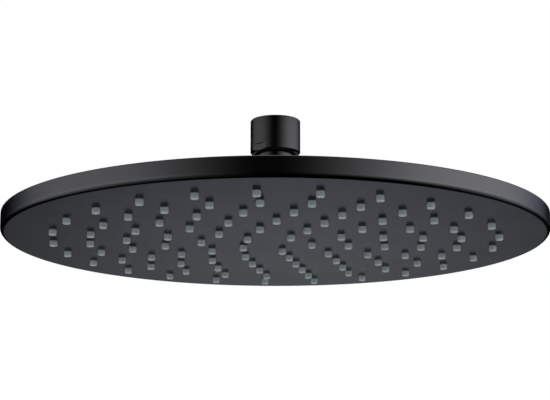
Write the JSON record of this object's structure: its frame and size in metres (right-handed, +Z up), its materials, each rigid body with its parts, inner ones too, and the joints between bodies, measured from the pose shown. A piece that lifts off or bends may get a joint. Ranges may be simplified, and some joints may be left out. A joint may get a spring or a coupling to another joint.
{
  "type": "rain shower head",
  "caption": "Thin round overhead shower head in satin black with grey rub-clean nozzles, hung from a ball-jointed inlet nut with a half-inch pipe thread.",
  "frame": {"origin": "centre of the inlet thread at the nut's upper face", "axes": "+Z up along the inlet thread, so that the spray face looks along -Z; -Y towards the picture's camera, +X to its right"},
  "size_m": [0.3, 0.3, 0.0721],
  "materials": {
    "black_coated_brass": "matt black coating on turned brass",
    "satin_black_abs": "satin black finish on moulded ABS",
    "plain_black_abs": "moulded ABS, unfinished inside",
    "grey_silicone": "moulded grey silicone",
    "black_rubber": "moulded black rubber",
    "white_acetal": "turned white acetal",
    "green_acetal": "moulded green acetal",
    "stainless_gauze": "punched stainless steel",
    "bare_brass": "turned brass"
  },
  "bodies": {
    "nut": {"swivel_nut": "black_coated_brass", "filter_washer": "black_rubber", "filter_gauze": "stainless_gauze", "ball_seal": "black_rubber"},
    "seat": {"seat_ring": "white_acetal"},
    "head": {"ball_stem": "black_coated_brass", "flow_regulator": "green_acetal", "regulator_ring": "black_rubber", "stem_washer": "black_rubber", "shank_ring": "black_rubber", "inlet_insert": "bare_brass", "chamber_lid": "plain_black_abs", "top_cover": "satin_black_abs", "edge_gasket": "black_rubber", "nozzle_mat": "grey_silicone", "face_pan": "satin_black_abs"}
  },
  "joints": [
    {"name": "swivel", "type": "hinge", "parent": "nut", "child": "seat", "pos_m": [0, 0, -0.0122], "axis": [0, 0, 1], "continuous": true},
    {"name": "tilt", "type": "hinge", "parent": "seat", "child": "head", "pos_m": [0, 0, -0.0122], "axis": [1, 0, 0], "range_deg": [-8, 8]}
  ]
}
